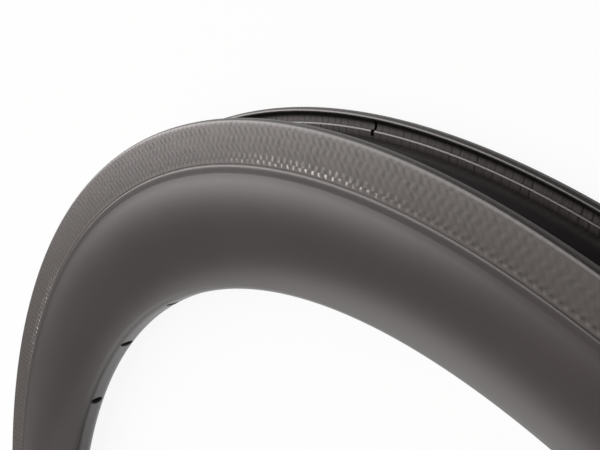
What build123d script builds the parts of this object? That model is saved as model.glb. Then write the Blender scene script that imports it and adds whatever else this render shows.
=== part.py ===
"""Deep-section bicycle rim for a wired-on tyre, moulded in one piece and then drilled.

The rim lies flat: the wheel's axle line is Z, the middle plane is z = 0 and the origin is the wheel's centre.
The section is drawn as (r, z), with r from the axle line and z from the middle plane. Only its upper half
is drawn, and mirrored. Round stretches are laid out as a few flats with their corners on the true arc.
"""
import math
import os

from build123d import *

# Flanges and brake tracks, in millimetres
bead_seat_diameter = 622.0
flange_height = 6.0
track_width = 20.5
track_height = 12.2
corner_chamfer = 0.9
crest_fall = 0.5
hook_thickness = 2.5
hook_drop = 2.0
hook_groove_thickness = 1.9
ledge_drop = 3.9
flange_thickness = 2.6

# Tyre bed
seat_width = 2.2
well_depth = 2.8
well_width = 7.4

# Raised bead between the brake track and the side wall
bead_width = 2.6
bead_shoulder = 0.7
bead_rise = 0.48

# Side walls and nose
rim_depth = 50.0
bulge_width = 21.8
bulge_depth = 22.0
nose_radius = 3.8
nose_land_width = 2.2
side_flat_count = 2
nose_flat_count = 2

# Laminate thickness
bed_wall = 1.4
track_wall = 2.3
side_wall = 1.0
nose_wall = 2.5

# Drilling
spoke_count = 32
nipple_hole_diameter = 4.6
valve_hole_diameter = 6.5
valve_angle = 180.0

# Folded ply on the inside of the lower flange
crease_angle = -53.1
crease_width = 0.9
crease_depth = 0.5

# Radii from the axle line and half widths from the middle plane
seat_radius = bead_seat_diameter / 2
crest_radius = seat_radius + flange_height
inner_radius = crest_radius - rim_depth
bulge_radius = crest_radius - bulge_depth
bead_top_radius = crest_radius - track_height
bead_foot_radius = bead_top_radius - bead_width
ledge_radius = crest_radius - ledge_drop
well_radius = seat_radius - well_depth
track_half = track_width / 2
bulge_half = bulge_width / 2
land_half = nose_land_width / 2
well_half = well_width / 2
flange_half = track_half - flange_thickness
seat_half = flange_half - seat_width

# The side wall's arc is widest at the bulge and tangent to the nose's arc
nose_centre = (inner_radius + nose_radius, land_half)
side_run = bulge_radius - nose_centre[0]
side_reach = bulge_half - land_half
side_radius = (side_run**2 + side_reach**2 - nose_radius**2) / (2 * (side_reach - nose_radius))
side_centre = (bulge_radius, bulge_half - side_radius)


def arc_point(centre, radius, turn):
    """Point of an arc, with the turn in radians from the way to the axle towards the way outwards."""
    return (centre[0] - radius * math.cos(turn), centre[1] + radius * math.sin(turn))


def arc_flats(centre, radius, start, end, flats):
    """Corners of the flats along an arc, without the one where it starts."""
    step = (end - start) / flats
    return [arc_point(centre, radius, start + number * step) for number in range(1, flats + 1)]


def side_turn(r, radius):
    """Turn at which an arc about the side wall's centre reaches the radius r from the axle line."""
    return math.acos((side_centre[0] - r) / radius)


def side_flats_from(start, radius):
    """Corners of the side wall's flats, one of them at the bulge and the last at the bead's foot."""
    bulge_turn = math.pi / 2
    lower = arc_flats(side_centre, radius, start, bulge_turn, side_flat_count)
    return lower + [arc_point(side_centre, radius, side_turn(bead_foot_radius, radius))]


def outside_half():
    """Outside of the section, from the middle of the nose round the flange to the middle of the well."""
    tangent_turn = math.atan2(nose_centre[1] - side_centre[1], side_centre[0] - nose_centre[0])
    nose = arc_flats(nose_centre, nose_radius, 0, tangent_turn, nose_flat_count)
    side = side_flats_from(tangent_turn, side_radius)
    bead = [
        (bead_top_radius - bead_shoulder, track_half + bead_rise),
        (bead_top_radius, track_half),
    ]
    flange = [
        (crest_radius - corner_chamfer, track_half),
        (crest_radius, track_half - corner_chamfer),
        (crest_radius - crest_fall, track_half - hook_thickness),
        (crest_radius - hook_drop, track_half - hook_groove_thickness),
        (ledge_radius, flange_half),
    ]
    bed = [
        (seat_radius, flange_half),
        (seat_radius, seat_half),
        (well_radius, well_half),
        (well_radius, 0),
    ]
    return [(inner_radius, 0), (inner_radius, land_half), *nose, *side, *bead, *flange, *bed]


def hollow_half():
    """Hollow inside the section, from the middle of the nose to the middle of the bed."""
    radius = side_radius - side_wall
    floor_radius = inner_radius + nose_wall
    floor_turn = side_turn(floor_radius, radius)
    floor_end = arc_point(side_centre, radius, floor_turn)
    side = side_flats_from(floor_turn, radius)
    bed = [
        (seat_radius - bed_wall, track_half - track_wall),
        (well_radius - bed_wall, well_half),
        (well_radius - bed_wall, 0),
    ]
    return [(floor_radius, 0), floor_end, *side, *bed]


def section(half):
    """Face in the XZ plane of the drawn half and its mirror image."""
    with BuildSketch(Plane.XZ) as face:
        with BuildLine():
            mirror(Polyline(*half), about=Plane.XZ)
        make_face()
    return face.sketch


def moulding():
    """The hollow ring before it is drilled."""
    return revolve(section(outside_half()) - section(hollow_half()), Axis.Z)


def radial_drill(diameter, start, end, angle):
    """Drill along a radius of the wheel, from one radius to another."""
    aim = Rot(0, 0, angle) * Pos((start + end) / 2, 0, 0) * Rot(0, 90, 0)
    return aim * Cylinder(diameter / 2, end - start)


def drills():
    """Nipple holes through the nose, and the valve hole through nose and bed between two of them."""
    pitch = 360 / spoke_count
    inside = inner_radius - nose_wall
    mid_hollow = (inner_radius + well_radius) / 2
    found = [radial_drill(valve_hole_diameter, inside, crest_radius, valve_angle)]
    for number in range(spoke_count):
        angle = valve_angle + (number + 0.5) * pitch
        found.append(radial_drill(nipple_hole_diameter, inside, mid_hollow, angle))
    return found


def ply_crease():
    """Slit down the inside of the lower flange, from the hook's groove into the bead seat."""
    top = crest_radius - hook_drop
    bottom = seat_radius - crease_depth
    slit = Box(top - bottom, crease_width, 2 * crease_depth)
    return Rot(0, 0, crease_angle) * Pos((top + bottom) / 2, 0, -flange_half) * slit


rim = moulding() - drills() - ply_crease()
rim.label = "rim"

os.makedirs("parts", exist_ok=True)
export_step(rim, "parts/rim.step")
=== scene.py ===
# Deep bicycle rim for a wired-on tyre: bare, lying flat on a pale studio floor.
# Lengths in the dictionaries are millimetres and angles degrees, unless a note says otherwise.
# In the section r is the distance from the axle line and z the height over the middle plane.
import math

import bpy
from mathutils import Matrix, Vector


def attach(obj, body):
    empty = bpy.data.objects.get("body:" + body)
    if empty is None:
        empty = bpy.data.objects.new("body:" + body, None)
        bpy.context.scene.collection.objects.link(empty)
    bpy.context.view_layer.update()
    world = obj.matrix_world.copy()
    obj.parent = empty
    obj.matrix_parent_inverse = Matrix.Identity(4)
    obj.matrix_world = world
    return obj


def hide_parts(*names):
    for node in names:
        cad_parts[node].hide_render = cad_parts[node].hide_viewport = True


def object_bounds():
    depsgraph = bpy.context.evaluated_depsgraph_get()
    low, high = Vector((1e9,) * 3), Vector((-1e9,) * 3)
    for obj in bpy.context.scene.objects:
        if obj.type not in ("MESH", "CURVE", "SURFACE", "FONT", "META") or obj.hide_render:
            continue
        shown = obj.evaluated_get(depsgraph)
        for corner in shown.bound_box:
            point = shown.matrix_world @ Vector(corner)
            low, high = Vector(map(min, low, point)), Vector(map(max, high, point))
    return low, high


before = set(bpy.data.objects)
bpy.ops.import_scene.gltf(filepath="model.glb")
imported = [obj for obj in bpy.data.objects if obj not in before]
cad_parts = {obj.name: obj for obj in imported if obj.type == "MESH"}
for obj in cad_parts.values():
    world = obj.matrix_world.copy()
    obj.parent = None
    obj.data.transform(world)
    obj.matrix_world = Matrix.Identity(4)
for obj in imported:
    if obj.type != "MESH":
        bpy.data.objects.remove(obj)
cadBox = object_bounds()
mm = 0.001
print("frame loaded, box", cadBox)


# small helpers for modelling

meshCare = {
    "weldGap": 0.002,      # points of an outline or ring that are nearer than this become one
    "pickReach": 0.004,    # a corner is picked within this distance of its place
    "sliver": 0.001,       # what the cuts leave below this size is cleaned away
    "ringParts": 8,        # one part of a ring is spun, the others are its copies
}
atOrigin = (0, 0, 0)
axleLine = (0, 0, 1)


def startFresh():
    if bpy.context.object and bpy.context.object.mode != "OBJECT":
        bpy.ops.object.mode_set(mode="OBJECT")
    bpy.ops.object.select_all(action="DESELECT")


def makeActive(piece):
    startFresh()
    piece.select_set(True)
    bpy.context.view_layer.objects.active = piece


def openNew(name):
    # names the primitive that was just added and opens it in edit mode, selected all over
    piece = bpy.context.object
    piece.name = piece.data.name = name
    bpy.ops.object.mode_set(mode="EDIT")
    return piece


def pickWhere(piece, kind, isWanted):
    # selects vertices or polygons by their place; the piece is in edit mode before and after
    bpy.ops.mesh.select_all(action="DESELECT")
    bpy.ops.object.mode_set(mode="OBJECT")
    for element in getattr(piece.data, kind):
        element.select = isWanted(element)
    bpy.ops.object.mode_set(mode="EDIT")


def copyRound(count):
    # what is selected becomes one of so many, evenly round the axle line
    angle = math.tau * (count - 1) / count
    bpy.ops.mesh.spin(steps=count - 1, dupli=True, angle=angle, center=atOrigin, axis=axleLine)


def arcPoints(centre, radius, startTurn, endTurn, steps):
    # turn 0 points at the axle, 90 straight out to the side, 180 away from the axle
    points = []
    for number in range(steps + 1):
        turn = math.radians(startTurn + (endTurn - startTurn) * number / steps)
        points.append((centre[0] - radius * math.cos(turn), centre[1] + radius * math.sin(turn)))
    return points


def traceOutline(name, points):
    # one vertex pulled along the outline, extrude by extrude
    startFresh()
    bpy.ops.mesh.primitive_plane_add(size=mm)
    piece = openNew(name)
    bpy.ops.mesh.merge(type="CENTER")
    bpy.ops.transform.translate(value=(points[0][0] * mm, 0, points[0][1] * mm))
    for here, there in zip(points, points[1:]):
        step = ((there[0] - here[0]) * mm, 0, (there[1] - here[1]) * mm)
        bpy.ops.mesh.extrude_region_move(TRANSFORM_OT_translate={"value": step})
    return piece


def roundCorners(piece, corners):
    # vertex bevel on the outline's corners: each is (r, z, size, segments)
    reach = meshCare["pickReach"] * mm
    bpy.ops.mesh.select_mode(type="VERT")
    for r, z, size, segments in corners:
        pickWhere(piece, "vertices", lambda spot: math.hypot(spot.co.x - r * mm, spot.co.z - z * mm) < reach)
        bpy.ops.mesh.bevel(offset=size * mm, offset_type="OFFSET", segments=segments, affect="VERTICES")


def turnIntoRing(steps):
    # a part is spun and then copied round, which is much quicker than one long spin
    parts = meshCare["ringParts"]
    bpy.ops.mesh.select_all(action="SELECT")
    bpy.ops.mesh.spin(steps=steps // parts, angle=math.tau / parts, center=atOrigin, axis=axleLine)
    bpy.ops.mesh.select_all(action="SELECT")
    copyRound(parts)
    bpy.ops.mesh.select_all(action="SELECT")
    bpy.ops.mesh.remove_doubles(threshold=meshCare["weldGap"] * mm)
    bpy.ops.mesh.normals_make_consistent(inside=False)
    bpy.ops.object.mode_set(mode="OBJECT")


# the moulding: one section turned round the axle line, then cored out and drilled

rimForm = {
    "depth": 50.0, "bulgeDepth": 22.0, "noseRadius": 3.8, "noseLand": 2.2,
    "trackWidth": 20.5, "trackHeight": 12.2,
    "beadWidth": 2.6, "beadShoulder": 0.7, "beadRise": 0.25, "grooveDepth": 0.13, "grooveRun": 0.2,
    # the bead's edge: shares of its shoulder's length, and of the drop into the groove
    "beadEdge": ((0.34, 0.07), (0.56, 0.26), (0.70, 0.58), (0.84, 1.0), (1.04, 1.0)),
    "crestFlat": 1.75, "crestFall": 0.7,
    "hookThickness": 2.8, "hookDrop": 2.0, "hookGrooveThickness": 1.6,
    "ledgeDrop": 3.9, "ledgeStep": 0.36, "ledgeRun": 0.06, "ledgeFacet": 0.32, "flangeThickness": 2.6,
    "seatDrop": 6.0, "seatWidth": 2.2, "wellDepth": 2.8, "wellWidth": 7.4,
    "noseWall": 2.5, "sideWall": 1.0, "bedWall": 1.4, "trackWall": 2.3,
    # size and segments of each rounded corner
    "rounding": {
        "shoulder": (1.15, 7), "lip": (0.5, 7), "recess": (0.5, 4),
        "ledgeTop": (0.1, 2), "ledgeEdge": (0.16, 3), "seat": (0.9, 5), "well": (1.5, 5),
    },
    # steps along the round stretches, and round the ring
    "noseSteps": 9, "sideSteps": 18, "beadSteps": 8, "ringSteps": 480,
    "coreSideSteps": 6, "coreRingSteps": 120,
    "smoothAngle": 32,     # faces that meet at less than this shade as one
}

# radii from the axle line, and half widths from the middle plane
crestRadius = cadBox[1][0] / mm
innerRadius = crestRadius - rimForm["depth"]
beadTop = crestRadius - rimForm["trackHeight"]
beadFoot = beadTop - rimForm["beadWidth"]
lipRadius = crestRadius - rimForm["crestFall"]
ledgeRadius = crestRadius - rimForm["ledgeDrop"]
seatRadius = crestRadius - rimForm["seatDrop"]
wellRadius = seatRadius - rimForm["wellDepth"]
bulgeHalf = cadBox[1][2] / mm
trackHalf = rimForm["trackWidth"] / 2
lipHalf = trackHalf - rimForm["hookThickness"]
recessHalf = trackHalf - rimForm["hookGrooveThickness"]
flangeHalf = trackHalf - rimForm["flangeThickness"]
seatHalf = flangeHalf - rimForm["seatWidth"]
wellHalf = rimForm["wellWidth"] / 2


def sideArc():
    # the side wall is widest at the bulge and runs smoothly into the nose
    noseRadius = rimForm["noseRadius"]
    noseCentre = (innerRadius + noseRadius, rimForm["noseLand"] / 2)
    bulge = crestRadius - rimForm["bulgeDepth"]
    run = bulge - noseCentre[0]
    reach = bulgeHalf - noseCentre[1]
    radius = (run ** 2 + reach ** 2 - noseRadius ** 2) / (2 * (reach - noseRadius))
    centre = (bulge, bulgeHalf - radius)
    tangentTurn = math.degrees(math.atan2(noseCentre[1] - centre[1], centre[0] - noseCentre[0]))
    return noseCentre, centre, radius, tangentTurn


def turnAt(r, centre, radius):
    # turn at which an arc reaches the distance r from the axle line
    return math.degrees(math.acos((centre[0] - r) / radius))


def beadLine(foot, footHalf):
    # the side skin swells gently into the bead, and its edge drops into a fine groove beside the track
    crest = beadTop - rimForm["beadShoulder"]
    crestHalf = trackHalf + rimForm["beadRise"]
    points = []
    for number in range(1, rimForm["beadSteps"] + 1):
        share = number / rimForm["beadSteps"]
        ease = share * share * (3 - 2 * share)
        points.append((foot + (crest - foot) * share, footHalf + (crestHalf - footHalf) * ease))
    drop = rimForm["beadRise"] + rimForm["grooveDepth"]
    for share, fall in rimForm["beadEdge"]:
        points.append((crest + rimForm["beadShoulder"] * share, crestHalf - drop * fall))
    return points + [(beadTop + rimForm["grooveRun"], trackHalf)]


def outsideHalf():
    # from the middle of the nose over the flange to the middle of the well, and the corners to round
    noseCentre, sideCentre, sideRadius, tangentTurn = sideArc()
    footTurn = turnAt(beadFoot, sideCentre, sideRadius)
    points = [(innerRadius, 0)]
    points += arcPoints(noseCentre, rimForm["noseRadius"], 0, tangentTurn, rimForm["noseSteps"])
    points += arcPoints(sideCentre, sideRadius, tangentTurn, footTurn, rimForm["sideSteps"])[1:]
    points += beadLine(*points[-1])
    shoulder = (crestRadius, trackHalf)
    lip = (lipRadius, lipHalf)
    recess = (crestRadius - rimForm["hookDrop"], recessHalf)
    # the ledge under the hook: a small step, then a facet down to the straight wall
    facet = rimForm["ledgeFacet"]
    ledgeTop = (ledgeRadius + facet / 2, flangeHalf + facet)
    ledgeFoot = (ledgeTop[0] + rimForm["ledgeRun"], ledgeTop[1] + rimForm["ledgeStep"])
    ledgeEdge = (ledgeRadius - facet / 2, flangeHalf)
    seat = (seatRadius, seatHalf)
    well = (wellRadius, wellHalf)
    points += [shoulder, (crestRadius, trackHalf - rimForm["crestFlat"]), lip, recess]
    points += [ledgeFoot, ledgeTop, ledgeEdge]
    points += [(seatRadius, flangeHalf), seat, well, (wellRadius, 0)]
    places = {
        "shoulder": shoulder, "lip": lip, "recess": recess,
        "ledgeTop": ledgeTop, "ledgeEdge": ledgeEdge, "seat": seat, "well": well,
    }
    return points, [(*place, *rimForm["rounding"][name]) for name, place in places.items()]


def mirrored(half, corners):
    # adds the lower half of the section
    outline = half + [(r, -z) for r, z in reversed(half[:-1])]
    return outline, corners + [(r, -z, size, segments) for r, z, size, segments in corners]


def makeRing():
    # the moulding before it is cored and drilled
    outline, corners = mirrored(*outsideHalf())
    ring = traceOutline("rimMoulding", outline)
    bpy.ops.mesh.select_all(action="SELECT")
    bpy.ops.mesh.remove_doubles(threshold=meshCare["weldGap"] * mm)
    roundCorners(ring, corners)
    turnIntoRing(rimForm["ringSteps"])
    return ring


def makeCore():
    # the hollow inside the moulding, as a solid to cut it with
    _, sideCentre, sideRadius, _ = sideArc()
    radius = sideRadius - rimForm["sideWall"]
    noseFloor = innerRadius + rimForm["noseWall"]
    startTurn = turnAt(noseFloor, sideCentre, radius)
    endTurn = turnAt(beadFoot, sideCentre, radius)
    half = [(noseFloor, 0)]
    half += arcPoints(sideCentre, radius, startTurn, endTurn, rimForm["coreSideSteps"])
    underWell = wellRadius - rimForm["bedWall"]
    half.append((seatRadius - rimForm["bedWall"], trackHalf - rimForm["trackWall"]))
    half += [(underWell, wellHalf), (underWell, 0)]
    outline, _ = mirrored(half, [])
    core = traceOutline("core", outline)
    turnIntoRing(rimForm["coreRingSteps"])
    return core


drilling = {
    "spokeCount": 32, "nippleHole": 4.6, "valveHole": 6.5, "valveAngle": 180.0,
    "edgeBreak": 0.25,     # depth of the broken edge at the nose
    "flare": 3.0,          # how far the drill's wide end stands out of the nose
    "facets": 32,
    "endReach": 0.01,      # the drill's near end is picked within this distance
}


def makeDrill(name, diameter, end, angle, count=1):
    # a drill along a radius, flared where it comes out of the nose, and its copies round the ring
    start = innerRadius + drilling["edgeBreak"]
    flare = drilling["flare"]
    radius = diameter / 2
    startFresh()
    bpy.ops.mesh.primitive_cylinder_add(
        vertices=drilling["facets"], radius=radius * mm, depth=(end - start) * mm)
    drill = openNew(name)
    bpy.ops.transform.rotate(value=math.radians(90), orient_axis="Y", center_override=atOrigin)
    bpy.ops.transform.translate(value=((start + end) / 2 * mm, 0, 0))
    pickWhere(drill, "polygons", lambda face: face.center.x < (start + drilling["endReach"]) * mm)
    bpy.ops.mesh.extrude_region_move(TRANSFORM_OT_translate={"value": (-flare * mm, 0, 0)})
    wider = 1 + 2 * flare / diameter
    bpy.ops.transform.resize(value=(1, wider, wider), center_override=((start - flare) * mm, 0, 0))
    bpy.ops.mesh.select_all(action="SELECT")
    bpy.ops.mesh.normals_make_consistent(inside=False)
    # a copy is turned to its place, and the first one deleted
    bpy.ops.mesh.spin(steps=1, dupli=True, angle=math.radians(angle), center=atOrigin, axis=axleLine)
    bpy.ops.mesh.select_all(action="INVERT")
    bpy.ops.mesh.delete(type="VERT")
    if count > 1:
        bpy.ops.mesh.select_all(action="SELECT")
        copyRound(count)
    bpy.ops.object.mode_set(mode="OBJECT")
    return drill


def makeDrills():
    # nipple holes end inside the hollow; the valve hole goes on through the bed, midway between two of them
    firstSpoke = drilling["valveAngle"] + 360 / drilling["spokeCount"] / 2
    midHollow = crestRadius - rimForm["depth"] / 2
    nipple = makeDrill("nippleDrill", drilling["nippleHole"], midHollow, firstSpoke, drilling["spokeCount"])
    valve = makeDrill("valveDrill", drilling["valveHole"], crestRadius, drilling["valveAngle"])
    return [nipple, valve]


def combine(piece, other, operation):
    # the other piece is used up, and its cut faces keep its finish
    makeActive(piece)
    blend = piece.modifiers.new(other.name, "BOOLEAN")
    blend.operation = operation
    blend.object = other
    blend.solver = "EXACT"
    blend.material_mode = "TRANSFER"
    bpy.ops.object.modifier_apply(modifier=blend.name)
    bpy.data.objects.remove(other)


def cleanUp(piece):
    # the cuts leave faces with many sides and slivers along their edges
    makeActive(piece)
    bpy.ops.object.mode_set(mode="EDIT")
    bpy.ops.mesh.select_mode(type="FACE")
    bpy.ops.mesh.select_all(action="SELECT")
    bpy.ops.mesh.remove_doubles(threshold=meshCare["sliver"] * mm)
    bpy.ops.mesh.select_all(action="DESELECT")
    bpy.ops.mesh.select_face_by_sides(number=4, type="GREATER")
    bpy.ops.mesh.quads_convert_to_tris(quad_method="BEAUTY", ngon_method="BEAUTY")
    bpy.ops.mesh.select_all(action="SELECT")
    bpy.ops.mesh.dissolve_degenerate(threshold=meshCare["sliver"] * mm)
    bpy.ops.object.mode_set(mode="OBJECT")


creaseForm = {
    "angle": -53.1, "width": 2.3, "depth": 1.6, "proud": 0.7, "top": 1.0, "bottom": 5.2, "cuts": 3,
    "bedEndShare": 0.3,      # share of the width that is left at the bed end
    "narrowing": 0.45,       # share of the width that is lost towards its root
    "lean": 0.7,
    "waveReach": 0.12, "waveTurn": 9,      # the wave along the crease, its whole turn in radians
    "flapLong": 1.7, "flapWide": 0.5, "flapThick": 0.5, "flapEdge": 0.18, "flapEdgeSegments": 3,
    "flapDrop": 4.3, "flapAside": 0.75, "flapTilt": 14.0,
}


def turnToCrease(piece):
    # from the X axis round to the crease; with no window, rotate turns the other way
    makeActive(piece)
    bpy.ops.object.mode_set(mode="EDIT")
    bpy.ops.mesh.select_all(action="SELECT")
    bpy.ops.mesh.normals_make_consistent(inside=False)
    turn = -math.radians(creaseForm["angle"])
    bpy.ops.transform.rotate(value=turn, orient_axis="Z", center_override=atOrigin)
    bpy.ops.object.mode_set(mode="OBJECT")


def makeCreaseCutter():
    # a crooked wedge that opens the inner ply of the lower flange
    low = crestRadius - creaseForm["bottom"]
    high = crestRadius - creaseForm["top"]
    mouth = -flangeHalf + creaseForm["proud"]
    tall = creaseForm["depth"] + creaseForm["proud"]
    startFresh()
    bpy.ops.mesh.primitive_cube_add(size=mm)
    wedge = openNew("creaseCutter")
    bpy.ops.transform.resize(value=(high - low, creaseForm["width"], tall), center_override=atOrigin)
    bpy.ops.mesh.subdivide(number_cuts=creaseForm["cuts"])
    bpy.ops.transform.translate(value=((low + high) / 2 * mm, 0, (mouth - tall / 2) * mm))
    bpy.ops.object.mode_set(mode="OBJECT")
    for vertex in wedge.data.vertices:
        share = (vertex.co.x / mm - low) / (high - low)      # 0 at the bed end, 1 under the hook
        sunk = (mouth - vertex.co.z / mm) / tall             # 0 at its mouth, 1 at its root
        width = creaseForm["bedEndShare"] + (1 - creaseForm["bedEndShare"]) * share
        wave = creaseForm["waveReach"] * mm * math.sin(share * creaseForm["waveTurn"])
        vertex.co.y *= width * (1 - creaseForm["narrowing"] * sunk)
        vertex.co.y += creaseForm["lean"] * (0.5 - share) * mm + wave
    turnToCrease(wedge)
    return wedge


def makeCreaseFlap(finish):
    # the edge of the folded ply, which stands up a little beside the crease
    size = (creaseForm["flapLong"], creaseForm["flapWide"], creaseForm["flapThick"])
    place = (crestRadius - creaseForm["flapDrop"], creaseForm["flapAside"], -flangeHalf)
    tilt = math.radians(creaseForm["flapTilt"])
    startFresh()
    bpy.ops.mesh.primitive_cube_add(size=mm)
    flap = openNew("creaseFlap")
    bpy.ops.transform.resize(value=size, center_override=atOrigin)
    bpy.ops.mesh.bevel(offset=creaseForm["flapEdge"] * mm, segments=creaseForm["flapEdgeSegments"])
    bpy.ops.transform.rotate(value=tilt, orient_axis="Z", center_override=atOrigin)
    bpy.ops.transform.translate(value=[length * mm for length in place])
    turnToCrease(flap)
    flap.data.materials.append(finish)
    return flap


# shader helpers: a value is a number, a colour or another node's output

def feed(tree, socket, value):
    if isinstance(value, bpy.types.NodeSocket):
        tree.links.new(value, socket)
    else:
        socket.default_value = value


def addNode(tree, kind, **values):
    node = tree.nodes.new(kind)
    for key, value in values.items():
        setattr(node, key, value)
    return node


def calc(tree, operation, *values):
    node = addNode(tree, "ShaderNodeMath", operation=operation)
    for socket, value in zip(node.inputs, values):
        feed(tree, socket, value)
    return node.outputs[0]


def times(tree, first, *others):
    for other in others:
        first = calc(tree, "MULTIPLY", first, other)
    return first


def opposite(tree, mask):
    return calc(tree, "SUBTRACT", 1.0, mask)


def offMiddle(tree, cloud):
    # a noise's value about nought
    return calc(tree, "SUBTRACT", cloud, 0.5)


def rampBetween(tree, value, low, high):
    # 0 below low, 1 above high, eased between them
    node = addNode(tree, "ShaderNodeMapRange", interpolation_type="SMOOTHSTEP")
    for name, number in (("Value", value), ("From Min", low), ("From Max", high)):
        feed(tree, node.inputs[name], number)
    return node.outputs[0]


def mixColours(tree, share, first, second):
    node = addNode(tree, "ShaderNodeMix", data_type="RGBA")
    feed(tree, node.inputs[0], share)
    feed(tree, node.inputs[6], first)
    feed(tree, node.inputs[7], second)
    return node.outputs[2]


def noise(tree, vector, scale, detail, roughness=0.5):
    node = addNode(tree, "ShaderNodeTexNoise")
    feed(tree, node.inputs["Vector"], vector)
    for name, value in (("Scale", scale), ("Detail", detail), ("Roughness", roughness)):
        node.inputs[name].default_value = value
    return node.outputs["Fac"]


def newGroup(name, inputs, outputs):
    # every output is a plain value
    group = bpy.data.node_groups.new(name, "ShaderNodeTree")
    for label, kind in inputs.items():
        group.interface.new_socket(label, in_out="INPUT", socket_type=kind)
    for label in outputs:
        group.interface.new_socket(label, in_out="OUTPUT", socket_type="NodeSocketFloat")
    return group, group.nodes.new("NodeGroupInput").outputs, group.nodes.new("NodeGroupOutput").inputs


def useGroup(tree, group, **values):
    node = addNode(tree, "ShaderNodeGroup", node_tree=group)
    for name, value in values.items():
        feed(tree, node.inputs[name], value)
    return node.outputs


def makeRingPlace():
    # distance from the axle line in millimetres, and the turn round it in radians
    group, given, gives = newGroup("ringPlace", {"Place": "NodeSocketVector"}, ["Radius", "Turn"])
    parts = addNode(group, "ShaderNodeSeparateXYZ")
    feed(group, parts.inputs[0], given["Place"])
    x, y, _ = parts.outputs
    squares = calc(group, "ADD", times(group, x, x), times(group, y, y))
    feed(group, gives["Radius"], calc(group, "DIVIDE", calc(group, "SQRT", squares), mm))
    feed(group, gives["Turn"], calc(group, "ARCTAN2", y, x))
    return group


dustForm = {
    "clean": 0.86,       # share of the cells that stay clean
    "largest": 0.16,     # a speck's largest radius
}


def makeDust():
    # sparse pale specks that have settled on the matt faces
    inputs = {"Point": "NodeSocketVector", "Spacing": "NodeSocketFloat"}
    group, given, gives = newGroup("dustSpecks", inputs, ["Mask"])
    spots = addNode(group, "ShaderNodeTexVoronoi", feature="F1")
    feed(group, spots.inputs["Vector"], given["Point"])
    feed(group, spots.inputs["Scale"], calc(group, "DIVIDE", 1.0, given["Spacing"]))
    away = times(group, given["Spacing"], spots.outputs["Distance"])
    chance = addNode(group, "ShaderNodeSeparateColor")
    feed(group, chance.inputs[0], spots.outputs["Color"])
    chosen = calc(group, "GREATER_THAN", chance.outputs[0], dustForm["clean"])
    speck = calc(group, "LESS_THAN", away, times(group, chance.outputs[1], dustForm["largest"]))
    feed(group, gives["Mask"], times(group, chosen, speck))
    return group


ringPlace = makeRingPlace()
dustSpecks = makeDust()


def newMaterial(name):
    # gives the shader, the object's own point in millimetres, and its place on the ring
    material = bpy.data.materials.new(name)
    material.use_nodes = True
    tree = material.node_tree
    place = tree.nodes.new("ShaderNodeTexCoord").outputs["Object"]
    scaled = addNode(tree, "ShaderNodeVectorMath", operation="SCALE")
    feed(tree, scaled.inputs[0], place)
    scaled.inputs["Scale"].default_value = 1 / mm
    ring = useGroup(tree, ringPlace, Place=place)
    return material, tree, tree.nodes["Principled BSDF"], scaled.outputs[0], ring


def dusted(tree, point, colour, finish):
    specks = useGroup(tree, dustSpecks, Point=point, Spacing=finish["dustSpacing"])["Mask"]
    return mixColours(tree, times(tree, specks, finish["dustCover"]), colour, finish["dust"])


def varyRoughness(tree, shader, mask, finish):
    # the mask takes it from half a span below the finish's roughness to half a span above
    span = finish["roughnessSpan"]
    rough = calc(tree, "MULTIPLY_ADD", mask, span, finish["roughness"] - span / 2)
    feed(tree, shader.inputs["Roughness"], rough)


def addBump(tree, shader, height, finish):
    bump = addNode(tree, "ShaderNodeBump")
    bump.inputs["Distance"].default_value = finish["relief"] * mm
    bump.inputs["Strength"].default_value = finish["reliefStrength"]
    feed(tree, bump.inputs["Height"], height)
    tree.links.new(bump.outputs[0], shader.inputs["Normal"])


# finishes: a noise is its scale, detail and roughness; a fade is where a ramp starts and ends;
# a share is how much a mask adds, and how much is there without it

trackFinish = {
    "pale": (0.084, 0.073, 0.068, 1), "dark": (0.046, 0.042, 0.040, 1), "border": (0.092, 0.080, 0.075, 1),
    "brow": (0.066, 0.058, 0.054, 1), "paintedGlint": (0.66, 0.635, 0.615, 1),
    "dust": (0.4, 0.39, 0.38, 1), "dustSpacing": 4.0, "dustCover": 0.5,
    "borderFade": (305.3, 306.2), "browFade": (314.95, 316.15), "shoulderFade": (314.95, 316.55),
    # weave: tows round the ring, two to a beat; width and start of the rows; lean and stray of the tows
    "towsRound": 1302, "towAcross": 2.35, "firstRow": 305.68, "slant": 0.54,
    "swayNoise": (0.11, 2.0), "strayNoise": (0.7, 2.0), "strayReach": 2.6,
    "hairNoise": (2.2, 3.0, 0.6), "hairReach": 1.1, "towFade": (-0.45, 0.7),
    "patchNoise": (0.22, 3.0), "patchFade": (0.3, 0.7), "darkShare": (0.45, 0.45), "liftShare": (0.4, 0.4),
    # rows of glints, highlights painted into the colour: middle radius, half width, and where in the beat
    # they start
    "dotRow": (305.85, 0.75, 0.1), "strokeRow": (307.15, 1.2, -0.1), "gapRow": (306.4, 0.6, 0.1),
    "rowSway": 0.5, "rowCore": 0.3, "beatFull": 0.9,
    "brightAt": -52.5, "brightCount": 8, "brightFade": (0.3, 1.0),
    "unevenNoise": (0.8, 2.0), "unevenFade": (0.36, 0.66),
    "strokeShare": (0.3, 0.08), "glintShare": (0.95, 0.08),
    "relief": 0.028, "reliefStrength": 1.0, "hairRelief": 0.3,
    "roughness": 0.35, "darkRoughness": 0.14, "glintRoughness": -0.1, "shoulderRoughness": -0.06,
    "coat": 0.3, "coatRoughness": 0.27,
}


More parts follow.
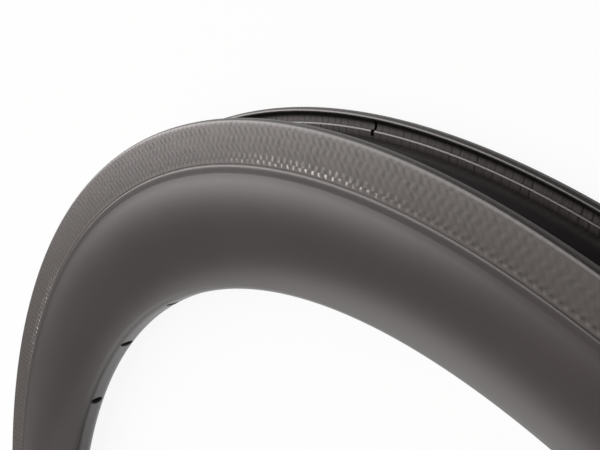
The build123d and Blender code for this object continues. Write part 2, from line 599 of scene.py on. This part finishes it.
def weaveTows(tree, point, ring, sway):
    # slanting tows, leaning the other way in every other row: their beat round the ring, and each one's cell
    stray = noise(tree, point, *trackFinish["strayNoise"])
    swayed = calc(tree, "ADD", offMiddle(tree, sway), ring["Radius"])
    row = calc(tree, "SUBTRACT", swayed, trackFinish["firstRow"])
    across = times(tree, row, math.pi / trackFinish["towAcross"])
    zigzag = times(tree, calc(tree, "PINGPONG", across, math.pi), trackFinish["slant"])
    wander = calc(tree, "MULTIPLY_ADD", offMiddle(tree, stray), trackFinish["strayReach"], zigzag)
    beat = calc(tree, "SINE", calc(tree, "MULTIPLY_ADD", ring["Turn"], trackFinish["towsRound"] / 2, wander))
    return beat, times(tree, beat, calc(tree, "SINE", across))


def paintedGlintRows(tree, point, ring, sway, beat):
    # a row of dots and a row of strokes along the cloth's lower edge, and the dark gaps between them; the
    # bright dots and strokes are painted highlights
    swayed = calc(tree, "MULTIPLY_ADD", sway, trackFinish["rowSway"], ring["Radius"])
    against = times(tree, beat, -1.0)

    def row(name, timing):
        middle, half, start = trackFinish[name]
        off = calc(tree, "ABSOLUTE", calc(tree, "SUBTRACT", swayed, middle + trackFinish["rowSway"] / 2))
        band = opposite(tree, rampBetween(tree, off, half * trackFinish["rowCore"], half))
        return times(tree, band, rampBetween(tree, timing, start, trackFinish["beatFull"]))

    # the painted highlights are strongest in a few stretches round the ring, the first at brightAt, and
    # differ from tow to tow
    fromBright = calc(tree, "SUBTRACT", ring["Turn"], math.radians(trackFinish["brightAt"]))
    swell = calc(tree, "COSINE", times(tree, fromBright, trackFinish["brightCount"]))
    stretch = rampBetween(tree, swell, *trackFinish["brightFade"])
    uneven = rampBetween(tree, noise(tree, point, *trackFinish["unevenNoise"]), *trackFinish["unevenFade"])
    bright = calc(tree, "MULTIPLY_ADD", times(tree, stretch, uneven), *trackFinish["glintShare"])
    fewer = calc(tree, "MULTIPLY_ADD", stretch, *trackFinish["strokeShare"])
    strokes = times(tree, row("strokeRow", against), fewer)
    paintedGlints = times(tree, calc(tree, "MAXIMUM", row("dotRow", beat), strokes), bright)
    return paintedGlints, row("gapRow", against)


def makeTrackCloth():
    # woven cloth with glints, highlights painted into its colour, along its lower edge, between a plain
    # border and a plain brow
    material, tree, shader, point, ring = newMaterial("trackCloth")
    sway = noise(tree, point, *trackFinish["swayNoise"])
    beat, cell = weaveTows(tree, point, ring, sway)
    paintedGlints, gaps = paintedGlintRows(tree, point, ring, sway, beat)
    patchy = rampBetween(tree, noise(tree, point, *trackFinish["patchNoise"]), *trackFinish["patchFade"])
    hairs = noise(tree, point, *trackFinish["hairNoise"])
    frayed = calc(tree, "MULTIPLY_ADD", offMiddle(tree, hairs), trackFinish["hairReach"], cell)
    tow = rampBetween(tree, frayed, *trackFinish["towFade"])
    darker = times(tree, tow, calc(tree, "MULTIPLY_ADD", patchy, *trackFinish["darkShare"]))
    aboveBorder = rampBetween(tree, ring["Radius"], *trackFinish["borderFade"])
    onBrow = rampBetween(tree, ring["Radius"], *trackFinish["browFade"])
    colour = mixColours(tree, calc(tree, "MAXIMUM", darker, gaps), trackFinish["pale"], trackFinish["dark"])
    colour = mixColours(tree, aboveBorder, trackFinish["border"], colour)
    colour = mixColours(tree, onBrow, colour, trackFinish["brow"])
    # painted highlight: the glints lighten the cloth's colour towards the pale glint colour
    colour = mixColours(tree, paintedGlints, colour, trackFinish["paintedGlint"])
    feed(tree, shader.inputs["Base Color"], dusted(tree, point, colour, trackFinish))
    # the turned-over shoulder is smooth, resin-rich and shinier than the cloth
    shoulder = rampBetween(tree, ring["Radius"], *trackFinish["shoulderFade"])
    inside = calc(tree, "SUBTRACT", aboveBorder, onBrow)
    lift = times(tree, cell, inside, calc(tree, "MULTIPLY_ADD", patchy, *trackFinish["liftShare"]))
    raised = calc(tree, "SUBTRACT", paintedGlints, lift)
    height = calc(tree, "MULTIPLY_ADD", hairs, trackFinish["hairRelief"], raised)
    addBump(tree, shader, times(tree, height, opposite(tree, shoulder)), trackFinish)
    changes = {"glintRoughness": paintedGlints, "darkRoughness": darker, "shoulderRoughness": shoulder}
    rough = trackFinish["roughness"]
    for change, mask in changes.items():
        rough = calc(tree, "MULTIPLY_ADD", mask, trackFinish[change], rough)
    feed(tree, shader.inputs["Roughness"], rough)
    feed(tree, shader.inputs["Coat Weight"], times(tree, shoulder, trackFinish["coat"]))
    shader.inputs["Coat Roughness"].default_value = trackFinish["coatRoughness"]
    return material


sideFinish = {
    "colour": (0.060, 0.0525, 0.0505, 1), "shade": (0.0535, 0.047, 0.045, 1),
    "dust": (0.45, 0.44, 0.43, 1), "dustSpacing": 9.0, "dustCover": 0.6,
    "cloudNoise": (0.03, 3.0), "cloudFade": (0.3, 0.7), "fineNoise": (3.5, 2.0),
    "roughness": 0.34, "roughnessSpan": 0.08, "relief": 0.01, "reliefStrength": 0.6,
}


def makeSideSatin():
    # smooth satin skin of the side walls and nose, faintly cloudy
    material, tree, shader, point, _ = newMaterial("sideSatin")
    cloud = rampBetween(tree, noise(tree, point, *sideFinish["cloudNoise"]), *sideFinish["cloudFade"])
    colour = mixColours(tree, cloud, sideFinish["shade"], sideFinish["colour"])
    feed(tree, shader.inputs["Base Color"], dusted(tree, point, colour, sideFinish))
    fine = noise(tree, point, *sideFinish["fineNoise"])
    varyRoughness(tree, shader, fine, sideFinish)
    addBump(tree, shader, fine, sideFinish)
    return material


bedFinish = {
    # colour and rub are pale as painted light on the channel wall; the deep colour is painted shade in the
    # well and under the hook
    "colour": (0.106, 0.095, 0.092, 1), "rub": (0.165, 0.149, 0.144, 1),
    "paintedShade": (0.013, 0.0116, 0.0113, 1), "line": (0.004, 0.0036, 0.0035, 1),
    "wallFade": (310.1, 312.4), "hookShadeFade": (313.7, 315.2),
    "lines": 651, "lineFade": (0.02, 0.42), "lineShare": (0.6, 0.3),
    "strayNoise": (0.35, 1.0), "strayReach": 1.6, "strongNoise": (0.2, 2.0), "strongFade": (0.35, 0.6),
    "hairNoise": (3.0, 3.0), "hairFade": (0.35, 0.75), "hairRelief": 0.3,
    "relief": 0.04, "reliefStrength": 1.0, "roughness": 0.5, "roughnessSpan": 0.2,
    "gloss": 0.06, "coat": 0.3, "coatRoughness": 0.5,
}


def makeBedLaminate():
    # inside of the channel: bare laminate with fine crosswise tow lines, dull under the hook and in the
    # well, where painted shade darkens its colour; between them the wall's colour is made pale, painted
    # light
    material, tree, shader, _, ring = newMaterial("bedLaminate")
    circle = addNode(tree, "ShaderNodeCombineXYZ")      # noises on a circle run straight across the bed
    for socket, operation in zip(circle.inputs, ("COSINE", "SINE")):
        feed(tree, socket, times(tree, calc(tree, operation, ring["Turn"]), crestRadius))
    spot = circle.outputs[0]
    stray = offMiddle(tree, noise(tree, spot, *bedFinish["strayNoise"]))
    wander = times(tree, stray, bedFinish["strayReach"])
    around = calc(tree, "MULTIPLY_ADD", ring["Turn"], bedFinish["lines"] / 2, wander)
    ridge = calc(tree, "ABSOLUTE", calc(tree, "SINE", around))
    strong = rampBetween(tree, noise(tree, spot, *bedFinish["strongNoise"]), *bedFinish["strongFade"])
    wall = rampBetween(tree, ring["Radius"], *bedFinish["wallFade"])
    # painted shade: the colour darkens to the deep one in the well and under the hook's lip; between them it
    # stays pale, painted light
    bareWallPaintedLit = calc(tree, "SUBTRACT", wall, rampBetween(tree, ring["Radius"], *bedFinish["hookShadeFade"]))
    mark = opposite(tree, rampBetween(tree, ridge, *bedFinish["lineFade"]))
    line = times(tree, mark, wall, calc(tree, "MULTIPLY_ADD", strong, *bedFinish["lineShare"]))
    hairs = noise(tree, spot, *bedFinish["hairNoise"])
    rubbed = rampBetween(tree, hairs, *bedFinish["hairFade"])
    colour = mixColours(tree, rubbed, bedFinish["colour"], bedFinish["rub"])
    colour = mixColours(tree, bareWallPaintedLit, bedFinish["paintedShade"], colour)
    feed(tree, shader.inputs["Base Color"], mixColours(tree, line, colour, bedFinish["line"]))
    height = calc(tree, "MULTIPLY_ADD", hairs, bedFinish["hairRelief"], opposite(tree, line))
    addBump(tree, shader, height, bedFinish)
    varyRoughness(tree, shader, hairs, bedFinish)
    feed(tree, shader.inputs["Coat Weight"], times(tree, bareWallPaintedLit, bedFinish["coat"]))
    shader.inputs["Coat Roughness"].default_value = bedFinish["coatRoughness"]
    shader.inputs["Specular IOR Level"].default_value = bedFinish["gloss"]
    return material


crestFinish = {
    "colour": (0.028, 0.024, 0.023, 1), "rub": (0.048, 0.042, 0.040, 1),
    "rubNoise": (0.5, 4.0, 0.6), "rubFade": (0.45, 0.75), "fineNoise": (3.0, 3.0),
    "roughness": 0.38, "roughnessSpan": 0.14, "relief": 0.015, "reliefStrength": 0.7, "gloss": 0.22,
}


def makeCrestResin():
    # smooth resin-rich crest of each flange, a little rubbed
    material, tree, shader, point, _ = newMaterial("crestResin")
    rubbed = rampBetween(tree, noise(tree, point, *crestFinish["rubNoise"]), *crestFinish["rubFade"])
    colour = mixColours(tree, rubbed, crestFinish["colour"], crestFinish["rub"])
    feed(tree, shader.inputs["Base Color"], colour)
    fine = noise(tree, point, *crestFinish["fineNoise"])
    varyRoughness(tree, shader, fine, crestFinish)
    addBump(tree, shader, fine, crestFinish)
    shader.inputs["Specular IOR Level"].default_value = crestFinish["gloss"]
    return material


edgeFinish = {
    "colour": (0.045, 0.041, 0.040, 1), "wornAndPaintedSheen": (0.09, 0.083, 0.080, 1),
    "wornNoise": (1.4, 4.0, 0.65), "wornFade": (0.4, 0.7),
    "roughness": 0.27, "roughnessSpan": -0.06, "relief": 0.01, "reliefStrength": 0.7, "gloss": 0.75,
}


def makeRubbedEdgePaintedSheen():
    # edges that are rubbed shiny: the hook's lip, the ledge and the crease's flap; their pale worn patches
    # are partly wear and partly painted highlight along these bright lines
    material, tree, shader, point, _ = newMaterial("rubbedEdgePaintedSheen")
    wornAndPaintedSheen = rampBetween(tree, noise(tree, point, *edgeFinish["wornNoise"]), *edgeFinish["wornFade"])
    # partly painted highlight: the worn patches lighten the edge's colour
    colour = mixColours(tree, wornAndPaintedSheen, edgeFinish["colour"], edgeFinish["wornAndPaintedSheen"])
    feed(tree, shader.inputs["Base Color"], colour)
    varyRoughness(tree, shader, wornAndPaintedSheen, edgeFinish)
    addBump(tree, shader, wornAndPaintedSheen, edgeFinish)
    shader.inputs["Specular IOR Level"].default_value = edgeFinish["gloss"]
    return material


drillFinish = {
    "colour": (0.03, 0.03, 0.03, 1), "ply": (0.055, 0.053, 0.052, 1), "plyThickness": 0.3, "plyShow": 0.3,
    "cutNoise": (5.0, 3.0), "roughness": 0.7, "relief": 0.05, "reliefStrength": 0.7,
}


def makeDrilledEdge():
    # cut plies show as faint rings in the hole walls
    material, tree, shader, point, ring = newMaterial("drilledEdge")
    plies = calc(tree, "SINE", times(tree, ring["Radius"], math.tau / drillFinish["plyThickness"]))
    cut = noise(tree, point, *drillFinish["cutNoise"])
    striped = calc(tree, "MULTIPLY_ADD", plies, drillFinish["plyShow"], cut)
    colour = mixColours(tree, striped, drillFinish["colour"], drillFinish["ply"])
    feed(tree, shader.inputs["Base Color"], colour)
    addBump(tree, shader, cut, drillFinish)
    shader.inputs["Roughness"].default_value = drillFinish["roughness"]
    return material


# how far the edges of each finish lie from corners of the section;
# a part is a share of the shoulder's rounding
bandReach = {
    "trackFoot": 0.1, "trackPart": 0.95,
    "bedFoot": 0.3, "bedSide": 0.1,
    "crestFoot": 0.35, "crestSide": 0.2, "crestPart": 0.18,
    "lipFoot": 0.62, "lipSide": 0.55,
    "ledgeFoot": 0.12, "ledgeSide": 0.05,
}


def placeInSection(face):
    x, y, z = face.center / mm
    return math.hypot(x, y), abs(z)


def dressRing(ring, rubbedEdgePaintedSheen):
    # which finish each band of the section takes; a later band covers an earlier one
    shoulder, _ = rimForm["rounding"]["shoulder"]
    facet = rimForm["ledgeFacet"]
    trackFoot = beadTop + bandReach["trackFoot"]
    trackSide = trackHalf - shoulder * bandReach["trackPart"]
    bedFoot = wellRadius - bandReach["bedFoot"]
    bedSide = recessHalf + bandReach["bedSide"]
    crestFoot = lipRadius - bandReach["crestFoot"]
    crestSides = (lipHalf - bandReach["crestSide"], trackHalf - shoulder * bandReach["crestPart"])
    lipFoot = lipRadius - bandReach["lipFoot"]
    lipSide = lipHalf + bandReach["lipSide"]
    ledgeReach = facet / 2 + bandReach["ledgeFoot"]
    ledgeSide = flangeHalf + facet + bandReach["ledgeSide"]
    bands = [
        (makeSideSatin(), lambda r, z: True),
        (makeTrackCloth(), lambda r, z: r > trackFoot and z > trackSide),
        (makeBedLaminate(), lambda r, z: r > bedFoot and z < bedSide),
        (makeCrestResin(), lambda r, z: r > crestFoot and crestSides[0] < z < crestSides[1]),
        (rubbedEdgePaintedSheen, lambda r, z: r > lipFoot and z < lipSide),
        (rubbedEdgePaintedSheen, lambda r, z: abs(r - ledgeRadius) < ledgeReach and z < ledgeSide),
    ]
    makeActive(ring)
    for material, inBand in bands:
        if material.name not in ring.data.materials:
            ring.data.materials.append(material)
        bpy.ops.object.mode_set(mode="EDIT")
        pickWhere(ring, "polygons", lambda face: inBand(*placeInSection(face)))
        ring.active_material_index = ring.data.materials.find(material.name)
        bpy.ops.object.material_slot_assign()
        bpy.ops.object.mode_set(mode="OBJECT")


moulding = makeRing()
print("section turned:", len(moulding.data.polygons), "faces")
rubbedEdgePaintedSheen = makeRubbedEdgePaintedSheen()
drilledEdge = makeDrilledEdge()
dressRing(moulding, rubbedEdgePaintedSheen)
for cutter in [makeCore(), *makeDrills(), makeCreaseCutter()]:
    cutter.data.materials.append(drilledEdge)
    combine(moulding, cutter, "DIFFERENCE")
print("cored and drilled:", len(moulding.data.polygons), "faces")
combine(moulding, makeCreaseFlap(rubbedEdgePaintedSheen), "UNION")
cleanUp(moulding)
print("cleaned:", len(moulding.data.polygons), "faces")
bpy.ops.object.shade_smooth_by_angle(angle=math.radians(rimForm["smoothAngle"]))
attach(moulding, "root")
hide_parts("rim")


# studio: a pale floor, and a surround that is white to the camera and dim to everything else

studio = {
    "floorSize": 8.0,           # metres
    "floorGrey": 0.9, "floorRoughness": 0.9,
    "floorGlow": 0.92,          # share of plain white in the floor, to the camera and in reflections
    "surround": 0.03,           # light that the surround gives
    "surroundSheen": 0.12,      # how bright it shows in reflections
}


def raySorts(tree):
    # masks for rays from the camera, and for rays that were reflected or have passed through something
    path = addNode(tree, "ShaderNodeLightPath").outputs
    return path["Is Camera Ray"], calc(tree, "MAXIMUM", path["Is Glossy Ray"], path["Is Transmission Ray"])


def makeFloor():
    startFresh()
    bpy.ops.mesh.primitive_plane_add(size=studio["floorSize"], location=(0, 0, cadBox[0][2]))
    floor = bpy.context.object
    floor.name = floor.data.name = "floor"
    bpy.ops.object.transform_apply(location=True, rotation=False, scale=False)
    material = bpy.data.materials.new("paleFloor")
    material.use_nodes = True
    tree = material.node_tree
    shader = tree.nodes["Principled BSDF"]
    shader.inputs["Base Color"].default_value = (studio["floorGrey"],) * 3 + (1,)
    shader.inputs["Roughness"].default_value = studio["floorRoughness"]
    glow = addNode(tree, "ShaderNodeEmission")
    blend = addNode(tree, "ShaderNodeMixShader")
    seen = calc(tree, "MAXIMUM", *raySorts(tree))
    feed(tree, blend.inputs[0], times(tree, seen, studio["floorGlow"]))
    tree.links.new(shader.outputs[0], blend.inputs[1])
    tree.links.new(glow.outputs[0], blend.inputs[2])
    tree.links.new(blend.outputs[0], tree.nodes["Material Output"].inputs["Surface"])
    floor.data.materials.append(material)


def makeSurround():
    world = bpy.data.worlds.new("surround")
    bpy.context.scene.world = world
    world.use_nodes = True
    tree = world.node_tree
    back = tree.nodes["Background"]
    back.inputs["Color"].default_value = (1, 1, 1, 1)
    fromCamera, reflected = raySorts(tree)
    sheen = studio["surroundSheen"] - studio["surround"]
    dim = calc(tree, "MULTIPLY_ADD", reflected, sheen, studio["surround"])
    strength = calc(tree, "MULTIPLY_ADD", fromCamera, 1 - studio["surround"], dim)
    tree.links.new(strength, back.inputs["Strength"])


# a large soft box like a window at one side, two low panels beyond the rim and a fill overhead
# place, aim and size are in metres, power in watts
lamps = {
    "windowLamp": {
        "place": (1.723, 0.181, 1.0), "aim": (0, 0, 0), "size": (2.4, 2.4),
        "power": 45.0, "tint": (1.0, 0.955, 0.945),
    },
    "lowLamp": {
        "place": (0.24, 0.28, 0.075), "aim": (0.2, -0.2, 0), "size": (0.26, 0.16),
        "power": 0.114, "tint": (1.0, 0.97, 0.96),
    },
    "screenLamp": {
        "place": (0.42, 0.62, 0.17), "aim": (0.2, -0.2, 0), "size": (0.5, 0.34),
        "power": 0.05, "tint": (1.0, 0.97, 0.96),
    },
    "fillLamp": {
        "place": (0.12, -0.15, 1.45), "aim": (0.12, -0.2, 0), "size": (1.0, 1.0),
        "power": 9.5, "tint": (1.0, 0.97, 0.96),
    },
}


def addLamp(name, lampSet):
    x, y, z = (there - here for there, here in zip(lampSet["aim"], lampSet["place"]))
    dip = math.atan2(-z, math.hypot(x, y))
    turn = math.atan2(y, x)
    aimed = (math.pi / 2 - dip, 0, turn - math.pi / 2)
    startFresh()
    bpy.ops.object.light_add(type="AREA", location=lampSet["place"], rotation=aimed)
    lamp = bpy.context.object
    lamp.name = name
    lamp.data.shape = "ELLIPSE"
    lamp.data.size, lamp.data.size_y = lampSet["size"]
    lamp.data.energy = lampSet["power"]
    lamp.data.color = lampSet["tint"]
    lamp.visible_camera = False


makeFloor()
makeSurround()
for name, lampSet in lamps.items():
    addLamp(name, lampSet)
print("studio lit")

# place and clipStart are in metres
cameraSet = {
    "place": (0.01929, -0.45643, 0.16693), "turn": (-23.062, 58.008, -152.063),
    "lens": 77.48, "sensor": 36, "clipStart": 0.01,
}


def makeCamera():
    turn = [math.radians(angle) for angle in cameraSet["turn"]]
    startFresh()
    bpy.ops.object.camera_add(location=cameraSet["place"], rotation=turn)
    camera = bpy.context.object
    camera.data.sensor_fit = "HORIZONTAL"
    camera.data.sensor_width = cameraSet["sensor"]
    camera.data.lens = cameraSet["lens"]
    camera.data.clip_start = cameraSet["clipStart"]
    bpy.context.scene.camera = camera


makeCamera()
bpy.context.scene.view_settings.view_transform = "Standard"
